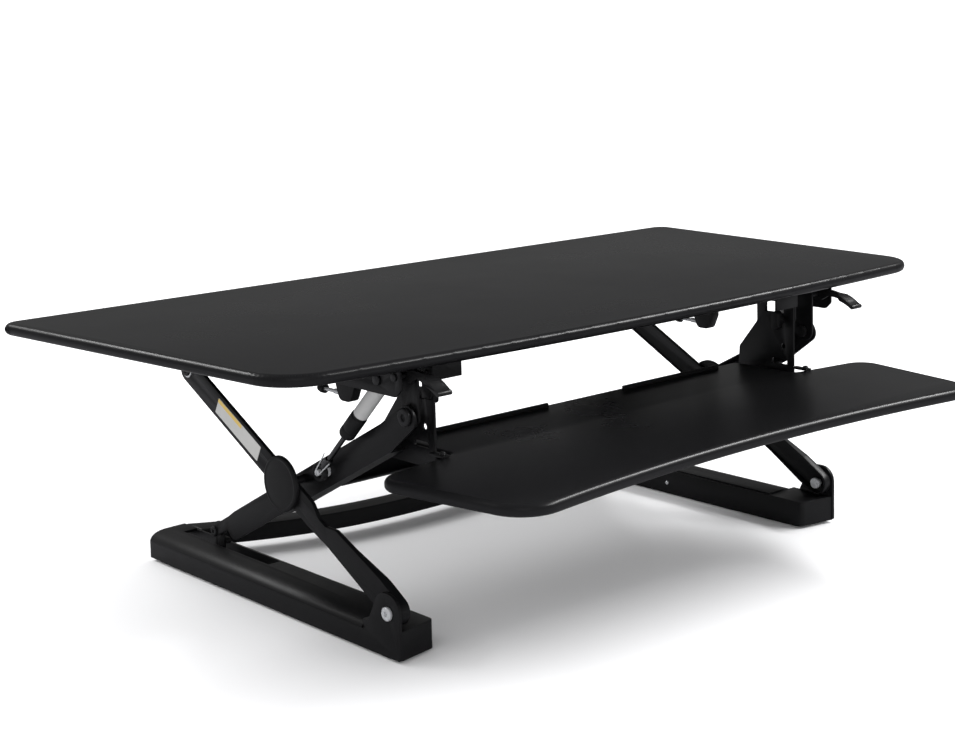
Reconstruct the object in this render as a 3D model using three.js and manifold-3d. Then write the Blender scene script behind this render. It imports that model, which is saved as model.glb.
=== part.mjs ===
// Sit-stand desk converter: a wide desktop and a keyboard tray on a pair of
// scissor lifts that stand on two floor feet. Millimetres, +X to the user's
// right, +Y to the back, +Z up. The origin is the centre of the footprint.

import * as THREE from 'three';
import { mergeVertices } from 'three/addons/utils/BufferGeometryUtils.js';
import Module from 'manifold-3d';

const wasm = await Module();
wasm.setup();

// ---------------------------------------------------------------- dimensions

const GAP = 0.3;                       // clearance between pieces that touch
const SHEET = 3;                       // thickness of the folded steel

// Scissor linkage: A and D are the front pivots, B and C the sliding rear ones.
const FRONT_Y = -142;                  // A below, D above
const ARM = 480.4;                     // pivot to pivot length of every arm
const REST_ANGLE = 27.79 * Math.PI / 180;
const LOW_Z = 57;                      // height of A and B
const HALF_ARM = ARM / 2;
const REAR_Y = FRONT_Y + ARM * Math.cos(REST_ANGLE);
const HIGH_Z = LOW_Z + ARM * Math.sin(REST_ANGLE);
const CENTRE_Y = (FRONT_Y + REAR_Y) / 2;
const CENTRE_Z = (LOW_Z + HIGH_Z) / 2;

// Planes across the width, as distances out from the middle of the desk.
const FOOT_OUT = 392;
const FOOT_IN = 333;
const OUTER_ARM_X = 383;               // inner face of the outer arm's web
const RAIL_OUT = 379;                  // inner face of the rail's outer wall
const SPRING_X = 368;                  // axis of the gas spring
const INNER_ARM_X = 354;               // inner face of the inner arm's web
const D_PLATE_X = 348;
const HANGER_X = 318.5;

// Heights.
const TOP_Z = 363;
const TOP_THICK = 15;
const TOP_UNDER = TOP_Z - TOP_THICK;
const TRAY_Z = 232;
const TRAY_THICK = 15;
const TRAY_UNDER = TRAY_Z - TRAY_THICK;
const PAD_THICK = 4;
const SEAM_Z = 27;
const FOOT_TOP = 38;
const RAIL_LOW = 310;

// Feet, from the rear end to the front end.
const FOOT_REAR = 394;
const FOOT_FRONT = -151;
const EAR_FRONT = -162;
const COVER_FRONT = -89.5;

// Gas spring, from its upper pin to its lower stud.
const SPRING_TOP = { y: -123, z: 326 };
const SPRING_LOW = { y: 16, z: 190 };
const STUD_R = 3.5;
const STUD_HOLE = 7.8;                 // loose eye on the stud

// Thumb knob that clamps the tray hanger.
const KNOB = { y: -129, z: 300 };

// ----------------------------------------------------------------- materials

const paint = new THREE.MeshStandardMaterial({ color: 0x1d1d1f, roughness: 0.55, metalness: 0.3 });
const laminate = new THREE.MeshStandardMaterial({ color: 0x232325, roughness: 0.6, metalness: 0.0 });
const plastic = new THREE.MeshStandardMaterial({ color: 0x202022, roughness: 0.5, metalness: 0.0 });
const rubber = new THREE.MeshStandardMaterial({ color: 0x101010, roughness: 0.9, metalness: 0.0 });
const steel = new THREE.MeshStandardMaterial({ color: 0xb9bcc0, roughness: 0.3, metalness: 1.0 });

// ------------------------------------------------------------------- helpers

// A closed three.js geometry becomes a manifold solid.
function solid(geometry) {
  const bare = geometry.clone();
  for (const name of ['normal', 'uv']) bare.deleteAttribute(name);
  const merged = mergeVertices(bare, 1e-4);
  const mesh = new wasm.Mesh({
    numProp: 3,
    vertProperties: new Float32Array(merged.attributes.position.array),
    triVerts: new Uint32Array(merged.index.array),
  });
  return new wasm.Manifold(mesh);
}

// A manifold solid becomes a flat-shaded three.js geometry.
function geometryOf(body) {
  const mesh = body.getMesh();
  const geometry = new THREE.BufferGeometry();
  geometry.setAttribute('position', new THREE.BufferAttribute(mesh.vertProperties, 3));
  geometry.setIndex(new THREE.BufferAttribute(mesh.triVerts, 1));
  const flat = geometry.toNonIndexed();
  flat.computeVertexNormals();
  return flat;
}

const join = (...parts) => geometryOf(parts.map(solid).reduce((a, b) => a.add(b)));
const cut = (part, ...tools) => geometryOf(tools.map(solid).reduce((a, b) => a.subtract(b), solid(part)));
const overlap = (a, b) => geometryOf(solid(a).intersect(solid(b)));

// A box between two corners.
function block(x0, x1, y0, y1, z0, z1) {
  const box = new THREE.BoxGeometry(x1 - x0, y1 - y0, z1 - z0);
  return box.translate((x0 + x1) / 2, (y0 + y1) / 2, (z0 + z1) / 2);
}

// Corners joined by straight lines, each corner rounded by its own radius.
// A corner is [a, b, radius]. A corner with a fourth value is reached from the
// corner before it along a parabola whose control point is that value.
function outline(corners) {
  const points = corners.map(([a, b]) => new THREE.Vector2(a, b));
  const shape = new THREE.Shape();
  corners.forEach(([, , radius = 0, control], i) => {
    const here = points[i];
    const before = control ?? points[(i + corners.length - 1) % corners.length];
    const next = corners[(i + 1) % corners.length];
    const after = next[3] ?? points[(i + 1) % corners.length];
    const toBefore = before.clone().sub(here).normalize();
    const toAfter = after.clone().sub(here).normalize();
    const half = toBefore.angleTo(toAfter) / 2;
    const run = radius / Math.tan(half);
    const start = here.clone().addScaledVector(toBefore, run);
    const end = here.clone().addScaledVector(toAfter, run);
    if (i === 0) shape.moveTo(start.x, start.y);
    else if (control) shape.quadraticCurveTo(control.x, control.y, start.x, start.y);
    else shape.lineTo(start.x, start.y);
    if (radius > 0) {
      const centre = toBefore.clone().add(toAfter).normalize();
      centre.multiplyScalar(radius / Math.sin(half)).add(here);
      const from = Math.atan2(start.y - centre.y, start.x - centre.x);
      const to = Math.atan2(end.y - centre.y, end.x - centre.x);
      const turn = Math.atan2(Math.sin(to - from), Math.cos(to - from));
      shape.absarc(centre.x, centre.y, radius, from, to, turn < 0);
    }
  });
  shape.closePath();
  return shape;
}

// Stands a (y, z) outline up across the width, from x0 to x1.
function plate(shape, x0, x1, curveSegments = 3) {
  const slab = new THREE.ExtrudeGeometry(shape, { depth: x1 - x0, bevelEnabled: false, curveSegments });
  const along = new THREE.Matrix4().makeBasis(
    new THREE.Vector3(0, 1, 0), new THREE.Vector3(0, 0, 1), new THREE.Vector3(1, 0, 0));
  return slab.applyMatrix4(along).translate(x0, 0, 0);
}

// A flat (x, y) outline with rounded upper and lower edges, from z0 to z1.
function board(shape, z0, z1, edge, curveSegments) {
  return new THREE.ExtrudeGeometry(shape, {
    depth: z1 - z0 - 2 * edge,
    bevelThickness: edge,
    bevelSize: edge,
    bevelOffset: -edge,
    bevelSegments: 2,
    curveSegments,
  }).translate(0, 0, z0 + edge);
}

// A turned piece on an axis across the width: [x, radius] pairs going outwards.
function turned(profile, y, z, sides = 12) {
  const points = profile.map(([x, radius]) => new THREE.Vector2(radius, x));
  const lathe = new THREE.LatheGeometry([
    new THREE.Vector2(0, profile[0][0]), ...points, new THREE.Vector2(0, profile.at(-1)[0])], sides);
  return lathe.rotateZ(-Math.PI / 2).translate(0, y, z);
}

const pin = (x0, x1, radius, y, z, sides = 12) => turned([[x0, radius], [x1, radius]], y, z, sides);

// Every side piece is drawn on the right, and turned over for the left.
function onSide(geometry, side) {
  if (side > 0) return geometry;
  const flat = geometry.index ? geometry.toNonIndexed() : geometry.clone();
  const p = flat.attributes.position;
  const v = [0, 1, 2].map(() => new THREE.Vector3());
  for (let i = 0; i < p.count; i += 3) {
    v.forEach((corner, k) => corner.fromBufferAttribute(p, i + k));
    p.setXYZ(i, -v[0].x, v[0].y, v[0].z);
    p.setXYZ(i + 1, -v[2].x, v[2].y, v[2].z);
    p.setXYZ(i + 2, -v[1].x, v[1].y, v[1].z);
  }
  flat.computeVertexNormals();
  return flat;
}

const converter = new THREE.Group();

function add(name, geometry, material, parent = converter) {
  const mesh = new THREE.Mesh(geometry, material);
  mesh.name = name;
  parent.add(mesh);
}

// A group on a pivot, turned about the axis across the width.
function pivotGroup(y, z, angle) {
  const group = new THREE.Group();
  group.position.set(0, y, z);
  group.rotation.x = angle;
  converter.add(group);
  return group;
}

// ---------------------------------------------------------------------- base

const PIN_R = 4.5;
const HOLE = PIN_R + GAP;
const PIVOT_R = 5;
const SLOT = { out: 357.5, y0: 155, y1: 362 };      // opening for the rear slider
const ROLLER_Z = 22;
const ROLLER_R = ROLLER_Z - PAD_THICK - SHEET - GAP;

// Steel tray of the foot, with a hollow nose in front and the ear that carries
// the front pivot.
function footChannel() {
  const ear = outline([
    [FOOT_REAR, PAD_THICK], [FOOT_REAR, SEAM_Z], [-96, SEAM_Z, 10], [-124, 80, 20],
    [EAR_FRONT, 80, 20], [EAR_FRONT, PAD_THICK, 3],
  ]);
  const noseBack = COVER_FRONT - GAP;
  const nose = (inset, rear) => new THREE.ExtrudeGeometry(outline([
    [FOOT_IN + inset, FOOT_FRONT + inset, 8 - inset], [FOOT_OUT - 2 - inset, EAR_FRONT + 1 + inset, 2],
    [FOOT_OUT - 2 - inset, rear], [FOOT_IN + inset, rear],
  ]), {
    depth: FOOT_TOP - PAD_THICK - 2 * inset, bevelEnabled: false, curveSegments: 4,
  }).translate(0, 0, PAD_THICK + inset);
  const walls = join(
    plate(ear, FOOT_OUT - 4, FOOT_OUT),
    block(FOOT_IN, FOOT_OUT - 2, noseBack - 4, FOOT_REAR, PAD_THICK, PAD_THICK + SHEET),
    block(FOOT_IN, FOOT_IN + SHEET, noseBack - 4, FOOT_REAR, PAD_THICK, FOOT_TOP),
    cut(nose(0, noseBack), nose(SHEET, noseBack + 10)),
  );
  return cut(walls, pin(FOOT_OUT - 10, FOOT_OUT + 5, HOLE, FRONT_Y, LOW_Z));
}

// Domed plastic cover on the foot, open along the inside for the slider.
function footCover() {
  const wall = 2.4;
  const dome = (inset) => {
    const shape = new THREE.Shape();
    const top = FOOT_TOP + 2 - inset;
    shape.moveTo(FOOT_IN + SHEET + GAP, SEAM_Z + GAP);
    shape.lineTo(FOOT_OUT - inset, SEAM_Z + GAP);
    shape.quadraticCurveTo(FOOT_OUT - 3 - inset, top - 1, FOOT_OUT - 26, top - 0.3);
    shape.lineTo(FOOT_IN + 10, top);
    shape.lineTo(FOOT_IN + SHEET + GAP, top);
    shape.closePath();
    return shape;
  };
  const along = (shape, y0, y1) => new THREE.ExtrudeGeometry(shape, {
    depth: y1 - y0, bevelEnabled: false, curveSegments: 8,
  }).rotateX(Math.PI / 2).translate(0, y1, 0);
  return cut(
    along(dome(0), COVER_FRONT, FOOT_REAR),
    along(dome(wall), COVER_FRONT - 5, FOOT_REAR - SHEET).translate(0, 0, -0.01),
    block(FOOT_IN, FOOT_IN + 8, COVER_FRONT - 5, FOOT_REAR - SHEET, 0, FOOT_TOP - 0.4),
    block(FOOT_IN - 5, SLOT.out, SLOT.y0, SLOT.y1, 0, 60),
  );
}

// Rubber strip under the foot.
function footPad() {
  const strip = outline([
    [FOOT_IN + 5, -141, 8], [FOOT_OUT - 5, -141, 8], [FOOT_OUT - 5, 384, 8], [FOOT_IN + 5, 384, 8],
  ]);
  return new THREE.ExtrudeGeometry(strip, {
    depth: PAD_THICK - GAP, bevelEnabled: false, curveSegments: 4,
  });
}

// Bowed cross beam between the rear ends of the feet: a channel, open below.
function crossBeam() {
  const half = FOOT_IN - GAP;
  const bow = (inset, ends) => {
    const shape = new THREE.Shape();
    const front = (x) => 271 + 85 * (Math.abs(x) / half) ** 2.4 + inset;
    const back = (x) => front(x) + 36 + 3 * Math.abs(x) / half - 2 * inset;
    const steps = 18;
    const at = (i) => -ends + 2 * ends * i / steps;
    shape.moveTo(at(0), front(at(0)));
    for (let i = 1; i <= steps; i += 1) shape.lineTo(at(i), front(at(i)));
    for (let i = steps; i >= 0; i -= 1) shape.lineTo(at(i), back(at(i)));
    shape.closePath();
    return shape;
  };
  const slab = (shape, z0, z1) => new THREE.ExtrudeGeometry(shape, {
    depth: z1 - z0, bevelEnabled: false,
  }).translate(0, 0, z0);
  const upper = FOOT_TOP + 1;
  return cut(slab(bow(0, half), 15, upper), slab(bow(SHEET, half - SHEET), 10, upper - SHEET));
}

// Socket-head pivot bolt: head outside, collar nut inside.
function pivotBolt(headOut, headIn, radius, shaftIn, nutIn, headR) {
  const head = turned([
    [nutIn, radius + 3], [shaftIn, radius + 3], [shaftIn, radius], [headIn, radius],
    [headIn, headR], [headOut - 1, headR], [headOut, headR - 1.2],
  ], 0, 0);
  return cut(head, pin(headOut - 2.5, headOut + 2, headR * 0.42, 0, 0, 6));
}

// --------------------------------------------------------------- moving arms

// Outer arm, drawn from the centre pivot: A towards -y, C towards +y.
function outerArm() {
  const profile = (inset) => outline([
    [HALF_ARM + 16 - inset, -16 + inset, 15 - inset],
    [HALF_ARM + 16 - inset, 16.5 - inset, 15 - inset],
    [-58, 16.5 - inset, 20], [-78, 6.5 - inset, 8], [-93, 6.5 - inset, 8], [-112, 16 - inset, 12],
    [-205, 20 - inset, 10], [-HALF_ARM - 17 + inset, 17 - inset, 15 - inset],
    [-HALF_ARM - 17 + inset, -16 + inset, 15 - inset],
    [-110, -13 + inset, 10], [-60, -16 + inset, 10],
  ]);
  const rim = 2.5;
  const pocket = (x0) => plate(profile(rim), x0, OUTER_ARM_X);
  const shallow = plate(profile(0), OUTER_ARM_X - 2, OUTER_ARM_X + SHEET);
  const depths = outline([
    [OUTER_ARM_X + SHEET, -88], [OUTER_ARM_X - 1.9, -88], [OUTER_ARM_X - 3.2, -150],
    [OUTER_ARM_X - 9, -215], [OUTER_ARM_X - 9, -300], [OUTER_ARM_X + SHEET, -300],
  ]);
  const wedge = new THREE.ExtrudeGeometry(depths, { depth: 120, bevelEnabled: false }).translate(0, 0, -60);
  return cut(
    join(shallow, overlap(plate(profile(0), OUTER_ARM_X - 9, OUTER_ARM_X + SHEET), wedge)),
    pocket(OUTER_ARM_X - 20),
    pin(OUTER_ARM_X - 5, OUTER_ARM_X + 5, HOLE, -HALF_ARM, 0),
    pin(OUTER_ARM_X - 5, OUTER_ARM_X + 5, PIVOT_R + GAP, 0, 0),
    pin(OUTER_ARM_X - 5, OUTER_ARM_X + 5, HOLE, HALF_ARM, 0),
  );
}

// Inner arm, drawn from the centre pivot: D towards -y, B towards +y.
function innerArm() {
  const web = outline([
    [-HALF_ARM - 15, 15, 14], [-HALF_ARM + 18, 12, 10], [-190, 9, 10], [178, 9, 14], [194, 7.5, 8],
    [HALF_ARM + 9, 7.5, 7], [HALF_ARM + 9, -7.5, 7], [207, -7.5, 5], [202, -25.5, 13],
    [-185, -26.5, 20], [-HALF_ARM - 15, -15, 14],
  ]);
  const shell = join(
    plate(web, INNER_ARM_X, INNER_ARM_X + SHEET),
    block(INNER_ARM_X - 26, INNER_ARM_X + 1, -188, 164, 6.4, 8.9),
    block(INNER_ARM_X - 26, INNER_ARM_X + 1, -180, 80, -25.5, -23),
  );
  return cut(
    shell,
    pin(INNER_ARM_X - 5, INNER_ARM_X + 5, PIVOT_R + GAP, -HALF_ARM, 0),
    pin(INNER_ARM_X - 5, INNER_ARM_X + 5, PIVOT_R + GAP, 0, 0),
    pin(INNER_ARM_X - 5, INNER_ARM_X + 5, HOLE, HALF_ARM, 0),
  );
}

// Cross bar that ties the two inner arms together, with a turned-out lower lip.
function innerCrossBar() {
  const half = INNER_ARM_X - 26 - GAP;
  const bar = join(
    block(-half, half, -35, -32, -26, 2),
    block(-half, half, -35, -8, -1, 2),
    block(-half, half, -44, -32, -26, -23.4),
  );
  return bar;
}

// ---------------------------------------------------------------- upper frame

// Folded bracket under the desktop's front corner: pivot plate, hanger plate,
// top flange and front flange.
function frontBracket() {
  const pivotPlate = outline([
    [-158, TOP_UNDER - GAP], [-158, 268, 14], [-126, 268, 14], [-126, 300, 10], [-96, TOP_UNDER - GAP],
  ]);
  const inner = 322;
  const hangerPlate = outline([
    [-149, TOP_UNDER - GAP], [-149, 296, 6], [-84, 296, 6], [-84, TOP_UNDER - GAP],
  ]);
  const window = block(inner - 5, inner + 8, -132, -98, 308, 325);
  return cut(
    join(
      plate(pivotPlate, D_PLATE_X, D_PLATE_X + SHEET),
      plate(hangerPlate, inner, inner + SHEET),
      block(inner, D_PLATE_X + SHEET, -158, -84, TOP_UNDER - GAP - 2.6, TOP_UNDER - GAP),
      block(280, inner + SHEET, -152, -149, 319, TOP_UNDER - GAP),
      block(280, inner + SHEET, -152, -126, TOP_UNDER - GAP - 2.6, TOP_UNDER - GAP),
    ),
    pin(D_PLATE_X - 5, D_PLATE_X + 5, PIVOT_R + GAP, FRONT_Y, HIGH_Z),
    window,
    pin(inner - 5, inner + 5, 4.2, -90.5, 304, 10),
    pin(inner - 5, inner + 5, 3.3, KNOB.y, KNOB.z, 10),
  );
}

// Slide rail under the desktop: outer wall along its whole length, which
// carries the gas spring, roof, and an inner wall where the carriage runs.
function slideRail() {
  const roof = TOP_UNDER - GAP;
  const rear = 366;
  const wall = outline([
    [rear, roof], [rear, RAIL_LOW, 6], [-157, RAIL_LOW, 8], [-166, 319, 4], [-166, roof],
  ]);
  return cut(
    join(
      plate(wall, RAIL_OUT, RAIL_OUT + SHEET),
      block(INNER_ARM_X, RAIL_OUT + 1, -166, rear, roof - SHEET, roof),
      block(INNER_ARM_X, INNER_ARM_X + SHEET, -30, rear, RAIL_LOW, roof - 1),
    ),
    pin(RAIL_OUT - 5, RAIL_OUT + 5, 4 + GAP, SPRING_TOP.y, SPRING_TOP.z),
    pin(RAIL_OUT - 5, RAIL_OUT + 5, 3 + GAP, -155, 333),
  );
}

// Plan of the desktop: wider at the back, with a gently bowed front edge.
function desktop() {
  const back = { x: 603, y: 374 };
  const front = { x: 553, y: -187 };
  const bow = new THREE.Vector2(0, -233);
  const plan = outline([
    [-back.x, back.y, 22], [-front.x, front.y, 66], [front.x, front.y, 66, bow], [back.x, back.y, 22],
  ]);
  return board(plan, TOP_UNDER, TOP_Z, 7, 7);
}

// Plan of the keyboard tray: wings in front of the feet, a deeper centre that
// reaches back between them, and a hollowed front edge.
function keyboardTray() {
  const hollow = new THREE.Vector2(0, -337.5);
  const plan = outline([
    [-306, -54, 12], [-306, -160, 9], [-436, -178, 32], [-398, -397.5, 50],
    [398, -397.5, 50, hollow], [436, -178, 32], [306, -160, 9], [306, -54, 12],
  ]);
  return board(plan, TRAY_UNDER, TRAY_Z, 6, 5);
}

// Steel hanger from the front bracket down to the tray: a wide plate with a
// flange under the tray and a toe on its wing.
function trayHanger() {
  const strap = outline([
    [-149, 214, 2], [-149, 330, 6], [-84, 330, 6], [-84, 293, 6], [-51, 253, 5], [-48, 214, 3],
  ]);
  const slot = outline([[-138, 236.5, 3], [-138, 244, 3], [-111, 244, 3], [-111, 236.5, 3]]);
  return cut(
    join(
      plate(strap, HANGER_X, HANGER_X + SHEET),
      block(270, HANGER_X + 1, -149, -72, 214, TRAY_UNDER - GAP),
      block(HANGER_X, 329, -172, -146, TRAY_Z + GAP, TRAY_Z + 2.9),
    ),
    block(HANGER_X - 5, HANGER_X + 8, -132, -98, 308, 325),
    plate(slot, HANGER_X - 5, HANGER_X + 8),
    pin(HANGER_X - 5, HANGER_X + 5, 4.2, -131, 262, 10),
    pin(HANGER_X - 5, HANGER_X + 5, 3.3, KNOB.y, KNOB.z, 10),
  );
}

// ------------------------------------------------------------- sliding pieces

// Upper carriage: block in the slide rail with a steel tab down to pivot C.
function upperCarriage() {
  const tab = outline([
    [-12, 34], [-12, -13, 11], [12, -13, 11], [12, 34],
  ]);
  return cut(
    join(
      block(INNER_ARM_X + SHEET + 1, RAIL_OUT - 1, -25, 25, 33, 61),
      plate(tab, 372, 375),
    ),
    pin(360, 380, HOLE, 0, 0),
  );
}

// Toothed bar on the upper carriage that the lock pin works against.
function rackBar() {
  const tooth = 14;
  const bar = join(
    block(343, 346, -306, 12, 20, 36),
    block(343, 371.5, -12, 12, 20, 22.6),
  );
  const notches = [];
  for (let i = 0; i < 12; i += 1) {
    notches.push(pin(340, 350, 4, -280 + tooth * i, 28, 8));
  }
  return cut(bar, ...notches);
}

// Lower carriage: a steel tab down from pivot B to a roller axle in the foot.
function lowerCarriage() {
  const tab = outline([[-11, 12, 10], [-11, -47, 6], [11, -47, 6], [11, 12, 10]]);
  return cut(plate(tab, 347, 350), pin(340, 360, HOLE, 0, 0), pin(340, 360, 4 + GAP, 0, ROLLER_Z - LOW_Z));
}

// Cylinder of the gas spring with its eye and plastic shroud, drawn along -z.
function springCylinder() {
  const tube = new THREE.LatheGeometry([
    [0, -112], [6, -112], [9, -108], [9.5, -104], [9.5, -18], [7, -14], [4, -13], [4, -6], [0, -6],
  ].map(([r, z]) => new THREE.Vector2(r, z)), 18).rotateX(Math.PI / 2);
  const bore = new THREE.CylinderGeometry(3.6, 3.6, 96, 14).rotateX(Math.PI / 2).translate(0, 0, -70);
  const eye = pin(-6, 6, 8, 0, 0, 16);
  return cut(join(tube, eye), bore, pin(-10, 10, 4 + GAP, 0, 0, 12));
}

// Piston rod with the eye that hangs on the inner arm's stud.
function springRod(length) {
  const inside = 48;
  const outside = length - STUD_HOLE - 1;
  const rod = new THREE.CylinderGeometry(3.2, 3.2, outside - inside, 12)
    .rotateX(Math.PI / 2).translate(0, 0, -(outside + inside) / 2);
  const eye = pin(-4, 4, STUD_HOLE + 3.5, 0, -length, 18);
  return cut(join(rod, eye), pin(-10, 10, STUD_HOLE, 0, -length, 14));
}

// Release lever: a curved paddle that reaches forward past the desktop's edge.
function releaseLever() {
  const side = new THREE.Shape();
  side.moveTo(6, 7);
  side.lineTo(-20, 8);
  side.quadraticCurveTo(-47, 6, -65, -8);
  side.absarc(-66, -11, 3, Math.PI / 2, -Math.PI / 2, false);
  side.quadraticCurveTo(-47, -1, -20, -1);
  side.lineTo(-8, -8);
  side.lineTo(6, -8);
  side.closePath();
  return cut(plate(side, 354, 374, 6), pin(350, 380, 3 + GAP, 0, 0, 12));
}

// Thumb knob that clamps the hanger to the bracket: stud with a winged grip.
function trayKnob() {
  const wings = outline([[-6, 13, 5], [6, 13, 5], [6, -13, 5], [-6, -13, 5]]);
  return join(plate(wings, 302, 312, 3), pin(311, 324, 2.9, 0, 0, 12), pin(311, 316, 7, 0, 0, 14));
}

// Lock housing under the desktop, hung from it by a plate.
function lockHousing() {
  const body = outline([[-4, 316, 3], [-4, 290, 8], [5, 270, 9], [27, 270, 9], [34, 288, 8], [34, 316, 3]]);
  return cut(
    join(plate(body, 315, 327.5), block(320, 323, -2, 20, 310, TOP_UNDER - GAP)),
    pin(310, 330, 3.4, 8, 309, 10),
  );
}

// ------------------------------------------------------------------- assembly

add('rear_crossbeam', crossBeam(), paint);
add('desktop', desktop(), laminate);
add('keyboard_tray', keyboardTray(), laminate);

const outerGroup = pivotGroup(CENTRE_Y, CENTRE_Z, REST_ANGLE);
const innerGroup = pivotGroup(CENTRE_Y, CENTRE_Z, -REST_ANGLE);
add('inner_crossbar', innerCrossBar(), paint, innerGroup);

const springRun = { y: SPRING_LOW.y - SPRING_TOP.y, z: SPRING_LOW.z - SPRING_TOP.z };
const springLength = Math.hypot(springRun.y, springRun.z);
const studRun = { y: SPRING_LOW.y - CENTRE_Y, z: SPRING_LOW.z - CENTRE_Z };
const STUD = {
  y: studRun.y * Math.cos(REST_ANGLE) - studRun.z * Math.sin(REST_ANGLE),
  z: studRun.y * Math.sin(REST_ANGLE) + studRun.z * Math.cos(REST_ANGLE),
};
const springGroup = pivotGroup(SPRING_TOP.y, SPRING_TOP.z, Math.atan2(springRun.y, -springRun.z));

for (const [prefix, side] of [['left', -1], ['right', 1]]) {
  const put = (name, geometry, material, parent) => (
    add(`${prefix}_${name}`, onSide(geometry, side), material, parent));

  put('foot_channel', footChannel(), paint);
  put('foot_cover', footCover(), plastic);
  put('foot_pad', footPad(), rubber);
  put('lower_front_bolt', pivotBolt(396.5, FOOT_OUT + GAP, PIN_R, 378, 372, 8.5)
    .translate(0, FRONT_Y, LOW_Z), steel);

  put('outer_arm', outerArm(), paint, outerGroup);
  put('pivot_cap', turned([[386.3, 35], [389, 35], [391.5, 33.5], [393, 30]], 0, 0, 28), plastic, outerGroup);
  put('upper_rear_bolt', pivotBolt(389.5, 386.3, PIN_R, 371, 366, 8)
    .translate(0, HALF_ARM, 0), steel, outerGroup);

  put('inner_arm', innerArm(), paint, innerGroup);
  put('centre_bolt', turned([[349, 6.2], [353.7, 6.2], [353.7, PIVOT_R], [385.5, PIVOT_R]], 0, 0),
    steel, innerGroup);
  put('upper_front_bolt', pivotBolt(361.5, 357.3, PIVOT_R, 347.5, 343.5, 11)
    .translate(0, -HALF_ARM, 0), steel, innerGroup);
  put('spring_stud', turned([[357.3, 8], [361, 8], [361, STUD_R], [373, STUD_R]], STUD.y, STUD.z),
    steel, innerGroup);
  put('lower_rear_bolt', pivotBolt(359.6, 357.3, PIN_R, 346.5, 342, 7)
    .translate(0, HALF_ARM, 0), steel, innerGroup);

  put('front_bracket', frontBracket(), paint);
  put('slide_rail', slideRail(), paint);
  put('tray_hanger', trayHanger(), paint);
  put('tray_screw', join(pin(0, 3, 3.4, 0, 0, 6), pin(0, 1, 4.4, 0, 0, 12))
    .rotateY(-Math.PI / 2).translate(324, -166, TRAY_Z + 3.2), steel);
  put('tray_knob', trayKnob().translate(0, KNOB.y, KNOB.z), plastic);
  put('spring_pin', turned([[357.8, 3.9], [382.4, 3.9], [382.4, 6.5], [384, 6.5]],
    SPRING_TOP.y, SPRING_TOP.z), steel);
  put('lever_pin', turned([[351.6, 2.9], [382.4, 2.9], [382.4, 4.8], [383.8, 4.8]], -155, 333), steel);
  put('release_lever', releaseLever().translate(0, -155, 333), plastic);
  put('lock_housing', lockHousing(), plastic);
  put('lock_pin', turned([[316, 3], [341.5, 3], [342.6, 2]], 8, 309), steel);

  put('upper_carriage', upperCarriage().translate(0, REAR_Y, HIGH_Z), plastic);
  put('rack_bar', rackBar().translate(0, REAR_Y, HIGH_Z), paint);
  put('lower_carriage', lowerCarriage().translate(0, REAR_Y, LOW_Z), paint);
  put('roller', turned([[345, 3.9], [351, 3.9], [351, ROLLER_R], [358, ROLLER_R]], REAR_Y, ROLLER_Z), plastic);

  put('spring_cylinder', springCylinder().translate(SPRING_X, 0, 0), paint, springGroup);
  put('spring_rod', springRod(springLength).translate(SPRING_X, 0, 0), steel, springGroup);
}

export default converter;
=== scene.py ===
import math
import bpy
from mathutils import Matrix, Vector


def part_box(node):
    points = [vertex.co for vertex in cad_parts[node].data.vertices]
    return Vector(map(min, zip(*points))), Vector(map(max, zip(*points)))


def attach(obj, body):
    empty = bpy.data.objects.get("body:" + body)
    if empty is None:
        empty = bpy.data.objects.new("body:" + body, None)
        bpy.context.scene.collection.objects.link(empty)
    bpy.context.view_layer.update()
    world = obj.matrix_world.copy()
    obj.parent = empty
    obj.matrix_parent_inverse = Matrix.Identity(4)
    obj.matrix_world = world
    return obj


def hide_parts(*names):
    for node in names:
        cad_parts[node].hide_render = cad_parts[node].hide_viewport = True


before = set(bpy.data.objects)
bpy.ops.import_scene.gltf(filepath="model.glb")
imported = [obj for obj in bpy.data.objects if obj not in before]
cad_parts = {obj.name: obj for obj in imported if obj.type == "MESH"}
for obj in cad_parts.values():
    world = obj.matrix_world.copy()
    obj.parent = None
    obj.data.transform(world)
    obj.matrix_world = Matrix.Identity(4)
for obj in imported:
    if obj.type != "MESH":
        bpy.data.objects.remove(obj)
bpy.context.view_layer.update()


# ---------------------------------------------------------------- studio
# The desk stands on a plain pale sweep in a bright even room. Two narrow
# strips draw the line along the rounded edges; a broad soft light fills the
# side that faces the camera.

floor_reach = 80
floor_drop = 0.0003
bpy.ops.object.select_all(action="DESELECT")
bpy.ops.mesh.primitive_plane_add(size=floor_reach, location=(0, 0, -floor_drop))
floor = bpy.context.object
floor.name = "studio_floor"
floor_paint = bpy.data.materials.new("pale_sweep")
floor_paint.use_nodes = True
floor_shader = floor_paint.node_tree.nodes["Principled BSDF"]
floor_ray = floor_paint.node_tree.nodes.new("ShaderNodeLightPath")
floor_tone = floor_paint.node_tree.nodes.new("ShaderNodeMix")
floor_tone.data_type = "RGBA"
# Painted reflection: in glossy rays the floor turns dark grey, so its reflection in the desk's
# black surfaces comes out dimmer than the floor looks.
floor_seen = (0.92, 0.92, 0.93, 1)
floor_mirrored = (0.22, 0.22, 0.23, 1)
floor_tone.inputs[6].default_value = floor_seen
floor_tone.inputs[7].default_value = floor_mirrored
floor_paint.node_tree.links.new(floor_ray.outputs["Is Glossy Ray"], floor_tone.inputs["Factor"])
floor_paint.node_tree.links.new(floor_tone.outputs[2], floor_shader.inputs["Base Color"])
floor_shader.inputs["Roughness"].default_value = 0.8
floor_shader.inputs["Specular IOR Level"].default_value = 0.15
floor.data.materials.append(floor_paint)

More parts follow.
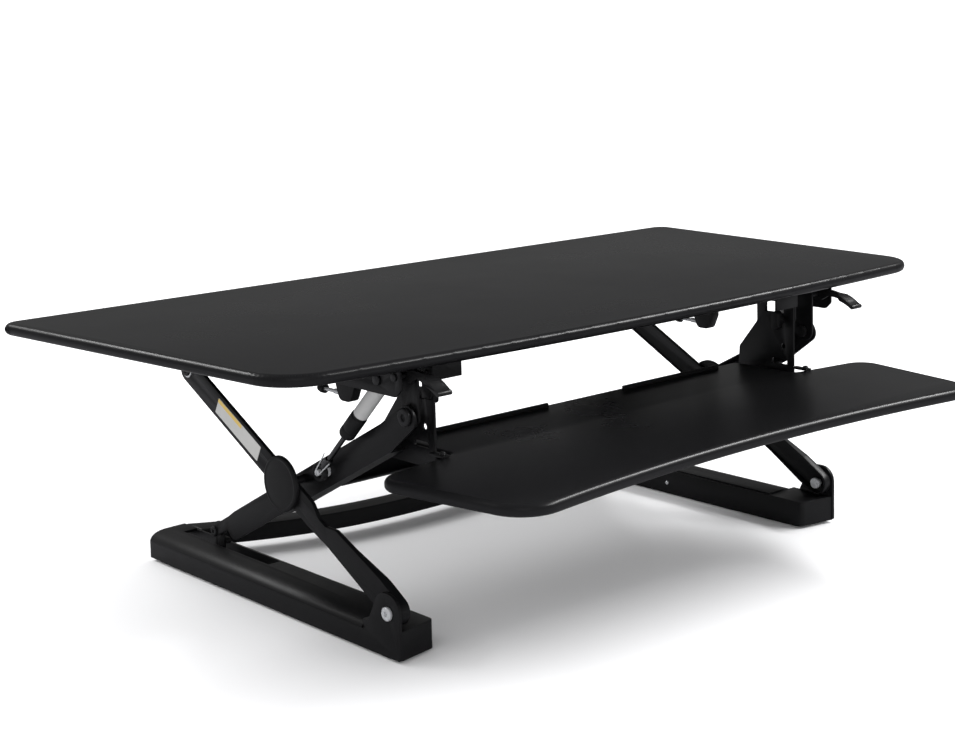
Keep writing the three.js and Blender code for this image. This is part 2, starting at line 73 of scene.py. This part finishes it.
world = bpy.data.worlds.new("soft_room")
bpy.context.scene.world = world
world.use_nodes = True
room = world.node_tree
room_light = room.nodes["Background"]
room_light.inputs["Color"].default_value = (1, 1, 1, 1)
ray = room.nodes.new("ShaderNodeLightPath")
brightness = room.nodes.new("ShaderNodeMapRange")
room_strength = 1.30
mirrored_strength = 0.17
brightness.inputs["To Min"].default_value = room_strength
brightness.inputs["To Max"].default_value = mirrored_strength
room.links.new(ray.outputs["Is Glossy Ray"], brightness.inputs["Value"])
room.links.new(brightness.outputs["Result"], room_light.inputs["Strength"])
bpy.context.scene.view_settings.view_transform = "Standard"


def soft_light(name, place, aim, width, height, power):
    bpy.ops.object.light_add(type="AREA", location=place)
    lamp = bpy.context.object
    lamp.name = name
    lamp.data.shape = "RECTANGLE"
    lamp.data.size = width
    lamp.data.size_y = height
    lamp.data.energy = power
    lamp.rotation_euler = (Vector(aim) - Vector(place)).to_track_quat("-Z", "Y").to_euler()


soft_light("front_strip", (2.3, -1.5, 2.7), (0, -0.2, 0.35), 3.2, 0.3, 130)
soft_light("left_strip", (-1.5, 2.5, 2.4), (-0.5, 0, 0.35), 2.4, 0.3, 45)
soft_light("front_softbox", (-2.6, -3.0, 1.6), (0, 0, 0.2), 2.4, 1.6, 8)

yaw, pitch, roll = math.radians(40.88), math.radians(-7.82), math.radians(-1.51)
ahead = Vector((math.sin(yaw) * math.cos(pitch), math.cos(yaw) * math.cos(pitch), math.sin(pitch)))
level = Vector((math.cos(yaw), -math.sin(yaw), 0))
upright = level.cross(ahead)
across = level * math.cos(roll) + upright * math.sin(roll)
upwards = upright * math.cos(roll) - level * math.sin(roll)
tripod = (-1.5799, -1.7216, 0.7506)
bpy.ops.object.camera_add(location=tripod)
camera = bpy.context.object
camera.name = "studio_camera"
camera.rotation_euler = Matrix((across, upwards, -ahead)).transposed().to_euler()
camera.data.sensor_width = 36.0
camera.data.lens = 67.41
camera.data.shift_x = -0.0204
camera.data.shift_y = -0.1252
camera.data.clip_end = 200
bpy.context.scene.camera = camera


# --------------------------------------------------------------- desktop
# A board covered on its face and its rounded edges by one vacuum-pressed
# black film with a very fine grain. It is wider at the back than in front.

def only(piece):
    bpy.ops.object.select_all(action="DESELECT")
    piece.select_set(True)
    bpy.context.view_layer.objects.active = piece


def grain_group():
    """Fine relief: a pebble and a smaller grit on top of it."""
    group = bpy.data.node_groups.new("fine_grain", "ShaderNodeTree")
    side = group.interface
    side.new_socket("Vector", in_out="INPUT", socket_type="NodeSocketVector")
    side.new_socket("Scale", in_out="INPUT", socket_type="NodeSocketFloat")
    side.new_socket("Depth", in_out="INPUT", socket_type="NodeSocketFloat")
    side.new_socket("Mask", in_out="OUTPUT", socket_type="NodeSocketFloat")
    side.new_socket("Normal", in_out="OUTPUT", socket_type="NodeSocketVector")
    nodes, links = group.nodes, group.links
    given = nodes.new("NodeGroupInput")
    result = nodes.new("NodeGroupOutput")
    pebble = nodes.new("ShaderNodeTexVoronoi")
    pebble.feature = "SMOOTH_F1"
    grit = nodes.new("ShaderNodeTexNoise")
    grit.inputs["Detail"].default_value = 4.0
    finer = nodes.new("ShaderNodeMath")
    finer.operation = "MULTIPLY"
    finer.inputs[1].default_value = 2.7
    both = nodes.new("ShaderNodeMath")
    both.operation = "ADD"
    relief = nodes.new("ShaderNodeBump")
    relief.inputs["Distance"].default_value = 0.00035
    links.new(given.outputs["Vector"], pebble.inputs["Vector"])
    links.new(given.outputs["Vector"], grit.inputs["Vector"])
    links.new(given.outputs["Scale"], pebble.inputs["Scale"])
    links.new(given.outputs["Scale"], finer.inputs[0])
    links.new(finer.outputs[0], grit.inputs["Scale"])
    links.new(pebble.outputs["Distance"], both.inputs[0])
    links.new(grit.outputs["Fac"], both.inputs[1])
    links.new(both.outputs[0], relief.inputs["Height"])
    links.new(given.outputs["Depth"], relief.inputs["Strength"])
    links.new(grit.outputs["Fac"], result.inputs["Mask"])
    links.new(relief.outputs["Normal"], result.inputs["Normal"])
    return group


def patina_group():
    """Broad, faint cloudiness from handling: it moves colour and gloss a little."""
    group = bpy.data.node_groups.new("handled_patina", "ShaderNodeTree")
    side = group.interface
    side.new_socket("Vector", in_out="INPUT", socket_type="NodeSocketVector")
    side.new_socket("Scale", in_out="INPUT", socket_type="NodeSocketFloat")
    side.new_socket("Deep Color", in_out="INPUT", socket_type="NodeSocketColor")
    side.new_socket("Pale Color", in_out="INPUT", socket_type="NodeSocketColor")
    side.new_socket("Low Roughness", in_out="INPUT", socket_type="NodeSocketFloat")
    side.new_socket("High Roughness", in_out="INPUT", socket_type="NodeSocketFloat")
    side.new_socket("Color", in_out="OUTPUT", socket_type="NodeSocketColor")
    side.new_socket("Roughness", in_out="OUTPUT", socket_type="NodeSocketFloat")
    nodes, links = group.nodes, group.links
    given = nodes.new("NodeGroupInput")
    result = nodes.new("NodeGroupOutput")
    cloud = nodes.new("ShaderNodeTexNoise")
    cloud.inputs["Detail"].default_value = 5.0
    cloud.inputs["Roughness"].default_value = 0.6
    tint = nodes.new("ShaderNodeMix")
    tint.data_type = "RGBA"
    gloss = nodes.new("ShaderNodeMapRange")
    gloss.inputs["From Min"].default_value = 0.3
    gloss.inputs["From Max"].default_value = 0.7
    links.new(given.outputs["Vector"], cloud.inputs["Vector"])
    links.new(given.outputs["Scale"], cloud.inputs["Scale"])
    links.new(cloud.outputs["Fac"], tint.inputs["Factor"])
    links.new(given.outputs["Deep Color"], tint.inputs[6])
    links.new(given.outputs["Pale Color"], tint.inputs[7])
    links.new(cloud.outputs["Fac"], gloss.inputs["Value"])
    links.new(given.outputs["Low Roughness"], gloss.inputs["To Min"])
    links.new(given.outputs["High Roughness"], gloss.inputs["To Max"])
    links.new(tint.outputs[2], result.inputs["Color"])
    links.new(gloss.outputs["Result"], result.inputs["Roughness"])
    return group


fine_grain = grain_group()
handled_patina = patina_group()


def finish(name, deep, pale, gloss, cloud, grain, depth, metal=0.0, shine=0.3):
    """One procedural finish: clouded colour and gloss over a fine grain."""
    stuff = bpy.data.materials.new(name)
    stuff.use_nodes = True
    nodes, links = stuff.node_tree.nodes, stuff.node_tree.links
    shader = nodes["Principled BSDF"]
    place = nodes.new("ShaderNodeTexCoord")
    patina = nodes.new("ShaderNodeGroup")
    patina.node_tree = handled_patina
    patina.inputs["Scale"].default_value = cloud
    patina.inputs["Deep Color"].default_value = (*deep, 1)
    patina.inputs["Pale Color"].default_value = (*pale, 1)
    patina.inputs["Low Roughness"].default_value = gloss[0]
    patina.inputs["High Roughness"].default_value = gloss[1]
    relief = nodes.new("ShaderNodeGroup")
    relief.node_tree = fine_grain
    relief.inputs["Scale"].default_value = grain
    relief.inputs["Depth"].default_value = depth
    links.new(place.outputs["Object"], patina.inputs["Vector"])
    links.new(place.outputs["Object"], relief.inputs["Vector"])
    links.new(patina.outputs["Color"], shader.inputs["Base Color"])
    links.new(patina.outputs["Roughness"], shader.inputs["Roughness"])
    links.new(relief.outputs["Normal"], shader.inputs["Normal"])
    shader.inputs["Metallic"].default_value = metal
    shader.inputs["Specular IOR Level"].default_value = shine
    return stuff


black_film = finish("black_film", (0.0050, 0.0050, 0.0056), (0.0080, 0.0080, 0.0088),
                    (0.26, 0.32), 3.0, 900, 0.08, shine=0.2)


def rounded(corners, steps):
    """Points round a flat outline of (x, y, radius) corners. A fourth value is the
    control point of the bowed side that leads to that corner."""
    points = []
    count = len(corners)
    for i, corner in enumerate(corners):
        here = Vector(corner[:2])
        after_corner = corners[(i + 1) % count]
        before = Vector(corner[3]) if len(corner) > 3 else Vector(corners[i - 1][:2])
        after = Vector(after_corner[3]) if len(after_corner) > 3 else Vector(after_corner[:2])
        back = (before - here).normalized()
        forth = (after - here).normalized()
        half = back.angle(forth) / 2
        run = corner[2] / math.tan(half)
        start = here + back * run
        if len(corner) > 3 and points:
            last = points[-1].copy()
            control = Vector(corner[3])
            for k in range(1, 24):
                t = k / 24
                points.append(last * (1 - t) ** 2 + control * (2 * t * (1 - t)) + start * t * t)
        centre = here + (back + forth).normalized() * (corner[2] / math.sin(half))
        arm = start - centre
        turn = (math.pi - 2 * half) * (1 if back.cross(forth) < 0 else -1)
        for k in range(steps + 1):
            points.append(centre + Matrix.Rotation(turn * k / steps, 2) @ arm)
    return points


def board(name, points, low, high, edge, segments):
    """A flat n-gon, extruded to its thickness, its two rims bevelled round."""
    bpy.ops.object.select_all(action="DESELECT")
    bpy.ops.mesh.primitive_circle_add(vertices=len(points), radius=1, fill_type="NGON")
    piece = bpy.context.object
    piece.name = name
    for vertex, point in zip(piece.data.vertices, points):
        vertex.co = (point[0], point[1], low)
    bpy.ops.object.mode_set(mode="EDIT")
    bpy.ops.mesh.select_all(action="SELECT")
    bpy.ops.mesh.extrude_region_move(TRANSFORM_OT_translate={"value": (0, 0, high - low)})
    bpy.ops.mesh.select_all(action="SELECT")
    bpy.ops.mesh.normals_make_consistent(inside=False)
    bpy.ops.mesh.select_all(action="DESELECT")
    bpy.ops.object.mode_set(mode="OBJECT")
    vertices = piece.data.vertices
    for line in piece.data.edges:
        a, b = (vertices[i].co.z for i in line.vertices)
        line.select = abs(a - b) < 1e-6
    bpy.ops.object.mode_set(mode="EDIT")
    bpy.ops.mesh.select_mode(type="EDGE")
    if edge > 0:
        bpy.ops.mesh.bevel(offset=edge, segments=segments, affect="EDGES", clamp_overlap=False)
    bpy.ops.object.mode_set(mode="OBJECT")
    only(piece)
    bpy.ops.object.shade_smooth_by_angle(angle=math.radians(35))
    return piece


def stand_for(piece, node, body, material):
    """The piece takes a node's place, on its body, in its finish."""
    piece.data.materials.clear()
    piece.data.materials.append(material)
    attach(piece, body)
    if node:
        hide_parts(node)
    return piece


top_low, top_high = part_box("desktop")
top_edge = 0.0072
desktop = board("desktop_board", rounded([
    (0.603, 0.374, 0.022), (-0.603, 0.374, 0.022), (-0.553, -0.187, 0.066),
    (0.553, -0.187, 0.066, (0, -0.233)),
], 14), top_low.z, top_high.z, top_edge, 8)
stand_for(desktop, "desktop", "top", black_film)


# ---------------------------------------------------------- keyboard tray
# The same pressed board, with wings in front of the feet and a hollow front
# edge. Two thin moulded stops stand up along its rear edge.

tray_low, tray_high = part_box("keyboard_tray")
tray_edge = 0.0068
tray = board("tray_board", rounded([
    (-0.306, -0.054, 0.012), (-0.306, -0.160, 0.009), (-0.436, -0.178, 0.032),
    (-0.398, -0.3975, 0.050), (0.398, -0.3975, 0.050, (0, -0.3375)),
    (0.436, -0.178, 0.032), (0.306, -0.160, 0.009), (0.306, -0.054, 0.012),
], 9), tray_low.z, tray_high.z, tray_edge, 7)
stand_for(tray, "keyboard_tray", "top", black_film)

moulded_black = finish("moulded_black", (0.0045, 0.0045, 0.0050), (0.007, 0.007, 0.0078),
                       (0.40, 0.50), 14.0, 1400, 0.14)
stop_inner, stop_outer = 0.068, 0.255
stop_front, stop_back = -0.0685, -0.0635
stop_corner, stop_edge = 0.0014, 0.0009
stop_root, stop_height = 0.001, 0.005
for side, name in ((-1, "left"), (1, "right")):
    stop = board(f"{name}_tray_stop", rounded([
        (side * stop_inner, stop_back, stop_corner), (side * stop_inner, stop_front, stop_corner),
        (side * stop_outer, stop_front, stop_corner), (side * stop_outer, stop_back, stop_corner),
    ], 4), tray_high.z - stop_root, tray_high.z + stop_height, stop_edge, 3)
    stand_for(stop, None, "top", moulded_black)


# ------------------------------------------------------------- foot frames
# Folded steel channel with the pivot's ear, powder coated; a domed moulded
# cover snaps over it, and a rubber strip is glued along its underside.

same_point = 0.00001
flat_within, sharp_from, smooth_below = (math.radians(angle) for angle in (0.6, 40, 38))


def eased(node, name, width, segments=2):
    """A copy of a solid with its triangles merged and its sharp edges eased."""
    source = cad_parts[node]
    piece = source.copy()
    piece.data = source.data.copy()
    for key in list(piece.keys()):
        if key.startswith("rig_"):
            del piece[key]
    piece.parent = None
    piece.name = name
    bpy.context.scene.collection.objects.link(piece)
    only(piece)
    bpy.ops.object.mode_set(mode="EDIT")
    bpy.ops.mesh.select_all(action="SELECT")
    bpy.ops.mesh.remove_doubles(threshold=same_point)
    bpy.ops.mesh.dissolve_limited(angle_limit=flat_within)
    bpy.ops.object.mode_set(mode="OBJECT")
    ease = piece.modifiers.new("eased_edges", "BEVEL")
    ease.width = width
    ease.segments = segments
    ease.limit_method = "ANGLE"
    ease.angle_limit = sharp_from
    bpy.ops.object.modifier_apply(modifier="eased_edges")
    bpy.ops.object.shade_smooth_by_angle(angle=smooth_below)
    return piece


powder_coat = finish("powder_coat", (0.0040, 0.0040, 0.0046), (0.0065, 0.0065, 0.0073),
                     (0.34, 0.42), 9.0, 1100, 0.14)
pad_rubber = finish("pad_rubber", (0.006, 0.006, 0.006), (0.010, 0.010, 0.010),
                    (0.75, 0.85), 20.0, 900, 0.2)
for name in ("left", "right"):
    for part, width, material, slot in (
        ("foot_channel", 0.0011, powder_coat, "painted_steel"),
        ("foot_cover", 0.0008, moulded_black, "black_plastic"),
        ("foot_pad", 0.0006, pad_rubber, "rubber"),
    ):
        stand_for(eased(f"{name}_{part}", f"{name}_{part}_shell", width),
                  f"{name}_{part}", "base", material)


# ------------------------------------------------------------- cross beam
# One bowed steel bar, powder coated, welded between the rear ends of the
# feet. It is nearest the front in the middle and a little wider at its ends.

beam_half = 0.3327
beam_middle, beam_sweep, beam_power = 0.271, 0.085, 2.4
beam_width, beam_flare = 0.036, 0.009
beam_low, beam_high, beam_edge = 0.015, 0.039, 0.002
beam_steps = 60


def beam_front(x):
    return beam_middle + beam_sweep * (abs(x) / beam_half) ** beam_power


reach = [-beam_half + 2 * beam_half * i / beam_steps for i in range(beam_steps + 1)]
beam_points = [(x, beam_front(x)) for x in reach]
beam_points += [(x, beam_front(x) + beam_width + beam_flare * abs(x)) for x in reversed(reach)]
beam = board("rear_crossbeam_skin", beam_points, beam_low, beam_high, beam_edge, 3)
stand_for(beam, "rear_crossbeam", "base", powder_coat)


# ------------------------------------------------------------ scissor arms
# Folded steel arms, powder coated, their rims rolled inwards. The two inner
# arms are tied by a folded cross bar.

for name in ("left", "right"):
    stand_for(eased(f"{name}_outer_arm", f"{name}_outer_arm_shell", 0.0007),
              f"{name}_outer_arm", "outer_arms", powder_coat)
    stand_for(eased(f"{name}_inner_arm", f"{name}_inner_arm_shell", 0.0007),
              f"{name}_inner_arm", "inner_frame", powder_coat)
stand_for(eased("inner_crossbar", "inner_crossbar_shell", 0.0008),
          "inner_crossbar", "inner_frame", powder_coat)

scissor_centre = Vector((0, 0.0704959, 0.168989))
arm_slope = math.radians(27.79)
arm_face = 0.386


# -------------------------------------------------------------- arm labels
# A plain white sticker with nothing printed on it, glued on the outer face
# of each outer arm. A warm band runs along the upper part of one edge.

label_white = finish("label_white", (0.42, 0.42, 0.41), (0.50, 0.50, 0.49),
                     (0.40, 0.50), 50.0, 1600, 0.04)
label_band = finish("label_band", (0.56, 0.40, 0.10), (0.64, 0.46, 0.14),
                    (0.40, 0.50), 50.0, 1600, 0.04)
label_head, label_corner, label_thickness = 0.162, 0.0012, 0.00018
for side, name in ((-1, "left"), (1, "right")):
    for part, foot, low, high, lift, paint in (
        ("label", 0.058, -0.0105, 0.0115, 0.00004, label_white),
        ("label_band", 0.104, 0.0055, 0.0110, 0.00024, label_band),
    ):
        sticker = board(f"{name}_arm_{part}", rounded([
            (foot, side * low, label_corner), (foot, side * high, label_corner),
            (label_head, side * high, label_corner), (label_head, side * low, label_corner),
        ], 4), lift, lift + label_thickness, 0, 0)
        along = Vector((0, math.cos(arm_slope), math.sin(arm_slope)))
        rise = Vector((0, -math.sin(arm_slope), math.cos(arm_slope))) * side
        facing = Matrix((along, rise, (side, 0, 0))).transposed().to_4x4()
        outer_face = scissor_centre + Vector((side * arm_face, 0, 0))
        sticker.data.transform(Matrix.Translation(outer_face) @ facing)
        stand_for(sticker, None, "outer_arms", paint)


# -------------------------------------------------------------- pivot caps
# A moulded disc snaps over the centre pivot of each scissor and hides its
# bolt: a shallow crown inside a raised rim.

def turned(name, profile, sides=64):
    """Turned along +Z: a disc, extruded and scaled from one (z, radius) to the next."""
    bpy.ops.object.select_all(action="DESELECT")
    bpy.ops.mesh.primitive_circle_add(vertices=sides, radius=profile[0][1], fill_type="NGON",
                                      location=(0, 0, profile[0][0]))
    piece = bpy.context.object
    piece.name = name
    bpy.ops.object.transform_apply(location=True)
    bpy.ops.object.mode_set(mode="EDIT")
    bpy.ops.mesh.select_all(action="SELECT")
    bpy.ops.mesh.select_mode(type="FACE")
    for (z0, r0), (z1, r1) in zip(profile, profile[1:]):
        bpy.ops.mesh.extrude_region_move(TRANSFORM_OT_translate={"value": (0, 0, z1 - z0)})
        bpy.ops.transform.resize(value=(r1 / r0, r1 / r0, 1))
    bpy.ops.mesh.select_all(action="SELECT")
    bpy.ops.mesh.normals_make_consistent(inside=False)
    bpy.ops.object.mode_set(mode="OBJECT")
    bpy.ops.object.shade_smooth_by_angle(angle=smooth_below)
    return piece


def place(piece, origin, direction):
    """Turns a piece made along +Z on to its axis, and leaves its object at the origin."""
    turn = Vector(direction).to_track_quat("Z", "Y").to_matrix().to_4x4()
    piece.data.transform(Matrix.Translation(origin) @ turn)
    piece.data.update()
    return piece


for side, name in ((-1, "left"), (1, "right")):
    cap = turned(f"{name}_pivot_disc", [
        (0.3863, 0.0330), (0.3863, 0.0346), (0.3868, 0.0350), (0.3895, 0.0350), (0.3908, 0.0346),
        (0.3917, 0.0336), (0.3921, 0.0322), (0.3921, 0.0312), (0.3918, 0.0306), (0.3918, 0.0290),
        (0.3924, 0.0250), (0.3928, 0.0160), (0.3930, 0.0060),
    ], 96)
    place(cap, scissor_centre, (side, 0, 0))
    stand_for(cap, f"{name}_pivot_cap", "outer_arms", moulded_black)


# ------------------------------------------------------------------- bolts
# Zinc-plated bolts and pins at every pivot, bright or black, and the screws
# that hold the tray. A bright washer lies under each upper rear bolt.

zinc = finish("zinc_plate", (0.50, 0.51, 0.53), (0.66, 0.67, 0.69),
              (0.24, 0.34), 60.0, 1500, 0.06, metal=0.5)
black_zinc = finish("black_zinc", (0.020, 0.020, 0.021), (0.034, 0.034, 0.036),
                    (0.30, 0.40), 60.0, 1500, 0.06, metal=0.6)
bolt_bodies = {
    "lower_front_bolt": ("base", zinc),
    "upper_rear_bolt": ("outer_arms", black_zinc),
    "centre_bolt": ("inner_frame", black_zinc),
    "upper_front_bolt": ("inner_frame", black_zinc),
    "spring_stud": ("inner_frame", zinc),
    "lower_rear_bolt": ("inner_frame", black_zinc),
    "tray_screw": ("top", black_zinc),
    "spring_pin": ("top", black_zinc),
    "lever_pin": ("top", black_zinc),
}
for name in ("left", "right"):
    for part, (body, material) in bolt_bodies.items():
        stand_for(eased(f"{name}_{part}", f"{name}_{part}_turned", 0.0004),
                  f"{name}_{part}", body, material)
upper_rear_pivot = (0, 0.282992, 0.280978)
for side, name in ((-1, "left"), (1, "right")):
    washer = turned(f"{name}_rear_pivot_washer", [
        (0.38606, 0.0096), (0.38606, 0.0099), (0.3863, 0.0101), (0.3868, 0.0101), (0.3870, 0.0099),
        (0.3870, 0.0070),
    ], 48)
    place(washer, upper_rear_pivot, (side, 0, 0))
    stand_for(washer, None, "outer_arms", zinc)


# ------------------------------------------------------------ foot rivets
# A dome-headed rivet on the inner wall of each foot holds the strip and the
# cover together.

inner_wall, rivet_along, rivet_height = 0.3331, 0.109, 0.018
for side, name in ((-1, "left"), (1, "right")):
    rivet = turned(f"{name}_foot_rivet", [
        (0.0, 0.0030), (0.0006, 0.0029), (0.0012, 0.0023), (0.0015, 0.0012),
    ], 24)
    place(rivet, (side * inner_wall, rivet_along, rivet_height), (-side, 0, 0))
    stand_for(rivet, None, "base", zinc)


# -------------------------------------------------- brackets and slide rails
# Folded steel brackets, rails and tray hangers, powder coated, under the
# desktop. Small round-headed screws close the front bracket on its hanger.

for name in ("left", "right"):
    for part in ("front_bracket", "slide_rail", "tray_hanger"):
        stand_for(eased(f"{name}_{part}", f"{name}_{part}_folded", 0.0006),
                  f"{name}_{part}", "top", powder_coat)
bracket_face = 0.3251
screw_places = ((-0.0885, 0.340), (-0.0885, 0.318), (-0.142, 0.340), (-0.142, 0.328))
for side, name in ((-1, "left"), (1, "right")):
    for number, (along, high) in enumerate(screw_places):
        screw = turned(f"{name}_bracket_screw_{number}", [
            (0.0, 0.0030), (0.0007, 0.0030), (0.0014, 0.0025), (0.0017, 0.0016), (0.0017, 0.0011),
            (0.0011, 0.0009),
        ], 24)
        place(screw, (side * bracket_face, along, high), (side, 0, 0))
        stand_for(screw, None, "top", black_zinc)


# ------------------------------------------------------- slides and carriages
# Moulded blocks in the rails, with a steel rack bar beside them. Below, a
# steel tab with a moulded roller and a moulded shoe runs in the foot.

for name in ("left", "right"):
    stand_for(eased(f"{name}_upper_carriage", f"{name}_upper_carriage_block", 0.0006),
              f"{name}_upper_carriage", "upper_carriages", moulded_black)
    stand_for(eased(f"{name}_rack_bar", f"{name}_rack_bar_punched", 0.0004),
              f"{name}_rack_bar", "upper_carriages", powder_coat)
    stand_for(eased(f"{name}_lower_carriage", f"{name}_lower_carriage_tab", 0.0005),
              f"{name}_lower_carriage", "lower_carriages", powder_coat)
    stand_for(eased(f"{name}_roller", f"{name}_roller_turned", 0.0006),
              f"{name}_roller", f"{name}_roller_wheel", moulded_black)
shoe_front, shoe_back = 0.2685, 0.2975
shoe_low, shoe_high = 0.0395, 0.0475
shoe_line, shoe_half = 0.3435, 0.0033
standing = Matrix(((0, 0, 1, 0), (1, 0, 0, 0), (0, 1, 0, 0), (0, 0, 0, 1)))
for side, name in ((-1, "left"), (1, "right")):
    shoe = board(f"{name}_slider_shoe", rounded([
        (shoe_front, shoe_low, 0.003), (shoe_front, shoe_high, 0.004),
        (shoe_back, shoe_high, 0.004), (shoe_back, shoe_low, 0.003),
    ], 5), side * shoe_line - shoe_half, side * shoe_line + shoe_half, 0.0009, 3)
    shoe.data.transform(standing)
    stand_for(shoe, None, "lower_carriages", moulded_black)


# -------------------------------------------------------------- gas springs
# A painted steel cylinder with a plain white maker's band and a moulded
# shroud over its mouth; the rod ends in an eye that a bent wire holds on the
# arm's stud.

chrome = finish("rod_chrome", (0.11, 0.11, 0.115), (0.15, 0.15, 0.155),
                (0.12, 0.18), 40.0, 1800, 0.02, metal=1.0)
band_paper = finish("band_paper", (0.30, 0.30, 0.30), (0.40, 0.40, 0.40),
                    (0.42, 0.5), 50.0, 1600, 0.05)
upper_pin = Vector((0, -0.123, 0.326))
lower_stud = Vector((0, 0.016, 0.190))
spring_run = lower_stud - upper_pin
spring_length = spring_run.length
down = spring_run.normalized()
square = Vector((0, -down.z, down.y))
spring_line = 0.368
clip_line = 0.3726
wire_radius = 0.0008
bends = [(-0.030, 0.0076), (-0.026, 0.0066), (-0.010, 0.0048), (-0.002, 0.0040), (0.003, 0.0028),
         (0.0046, 0.0), (0.003, -0.0028), (-0.002, -0.0040), (-0.010, -0.0048), (-0.026, -0.0066),
         (-0.030, -0.0076)]
for side, name in ((-1, "left"), (1, "right")):
    seat = upper_pin + Vector((side * spring_line, 0, 0))
    tube = turned(f"{name}_gas_tube", [
        (0.0075, 0.0040), (0.0130, 0.0042), (0.0136, 0.0068), (0.0162, 0.0090), (0.0180, 0.0095),
        (0.0760, 0.0095), (0.0764, 0.0101), (0.0770, 0.0104), (0.1000, 0.0104), (0.1010, 0.0100),
        (0.1016, 0.0100), (0.1024, 0.0104), (0.1120, 0.0104), (0.1136, 0.0098), (0.1140, 0.0050),
    ])
    place(tube, seat, spring_run)
    stand_for(tube, f"{name}_spring_cylinder", f"{name}_gas_cylinder", moulded_black)
    eye = turned(f"{name}_gas_tube_eye", [
        (-0.0060, 0.0068), (-0.0055, 0.0077), (-0.0048, 0.0080), (0.0048, 0.0080), (0.0055, 0.0077),
        (0.0060, 0.0068),
    ], 40)
    place(eye, seat, (1, 0, 0))
    stand_for(eye, None, f"{name}_gas_cylinder", moulded_black)
    band = turned(f"{name}_gas_band", [
        (0.0180, 0.00940), (0.0180, 0.00962), (0.0720, 0.00962), (0.0720, 0.00940),
    ])
    bpy.ops.object.mode_set(mode="EDIT")
    bpy.ops.mesh.select_mode(type="FACE")
    bpy.ops.mesh.select_all(action="DESELECT")
    bpy.ops.mesh.select_face_by_sides(number=4, type="GREATER")
    bpy.ops.mesh.delete(type="FACE")
    bpy.ops.object.mode_set(mode="OBJECT")
    place(band, seat, spring_run)
    stand_for(band, None, f"{name}_gas_cylinder", band_paper)
    rod = turned(f"{name}_gas_rod_bar", [
        (0.050, 0.0029), (0.0505, 0.0032),
        (spring_length - 0.0280, 0.0032), (spring_length - 0.0275, 0.0046),
        (spring_length - 0.0270, 0.0050), (spring_length - 0.0115, 0.0050),
        (spring_length - 0.0110, 0.0044),
    ], 48)
    place(rod, seat, spring_run)
    stand_for(rod, None, f"{name}_gas_rod", chrome)
    stand_for(eased(f"{name}_spring_rod", f"{name}_gas_rod_eye", 0.0004),
              f"{name}_spring_rod", f"{name}_gas_rod", black_zinc)
    bpy.ops.curve.primitive_nurbs_path_add()
    clip = bpy.context.object
    clip.name = f"{name}_spring_clip"
    clip.data.splines.clear()
    wire = clip.data.splines.new("POLY")
    wire.points.add(len(bends) - 1)
    hang = lower_stud + Vector((side * clip_line, 0, 0))
    for point, (run, off) in zip(wire.points, bends):
        point.co = (*(hang + down * run + square * off), 1)
    clip.data.bevel_depth = wire_radius
    clip.data.bevel_resolution = 4
    only(clip)
    bpy.ops.object.convert(target="MESH")
    clip = bpy.context.object
    bpy.ops.object.shade_smooth_by_angle(angle=math.radians(60))
    stand_for(clip, None, f"{name}_gas_rod", zinc)


# ------------------------------------------------------ levers, knobs, locks
# Moulded squeeze levers, whose stem is narrower than the paddle, and thumb
# knobs; moulded lock housings with their pins, and with a screw and a nut
# that set the cable.

lever_grip = finish("lever_grip", (0.007, 0.007, 0.0075), (0.011, 0.011, 0.0115),
                    (0.30, 0.38), 30.0, 1300, 0.12)
stem_start, stem_width = -0.196, 0.28
for name in ("left", "right"):
    lever = eased(f"{name}_release_lever", f"{name}_lever_paddle", 0.0018, 3)
    lever_low, lever_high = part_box(f"{name}_release_lever")
    for vertex in lever.data.vertices:
        vertex.select = vertex.co.y > stem_start
    bpy.ops.object.mode_set(mode="EDIT")
    bpy.ops.mesh.select_mode(type="VERT")
    bpy.ops.transform.resize(value=(stem_width, 1, 1), center_override=(lever_low + lever_high) / 2)
    bpy.ops.object.mode_set(mode="OBJECT")
    stand_for(lever, f"{name}_release_lever", f"{name}_lever", lever_grip)
    stand_for(eased(f"{name}_tray_knob", f"{name}_knob_wing", 0.0012, 3),
              f"{name}_tray_knob", f"{name}_knob", moulded_black)
    stand_for(eased(f"{name}_lock_housing", f"{name}_lock_block", 0.0012, 3),
              f"{name}_lock_housing", "top", moulded_black)
    stand_for(eased(f"{name}_lock_pin", f"{name}_lock_pin_turned", 0.0003),
              f"{name}_lock_pin", f"{name}_lock_bolt", zinc)

cable_line, cable_height = 0.3215, 0.278
screw_profile = [(0, 0.0030), (0.0004, 0.0034), (0.0100, 0.0034), (0.0104, 0.0024),
                 (0.0380, 0.0024), (0.0385, 0.0020)]
nut_profile = [(0, 0.0050), (0.0006, 0.0060), (0.0070, 0.0060), (0.0076, 0.0046),
               (0.0120, 0.0046), (0.0124, 0.0040)]
for side, name in ((-1, "left"), (1, "right")):
    for part, start, profile, material, slot in (
        ("adjuster_screw", 0.0336, screw_profile, zinc, "bright_steel"),
        ("adjuster_nut", 0.0640, nut_profile, moulded_black, "black_plastic"),
    ):
        turning = turned(f"{name}_{part}", profile, 32)
        place(turning, (side * cable_line, start, cable_height), (0, 1, 0))
        stand_for(turning, None, "top", material)
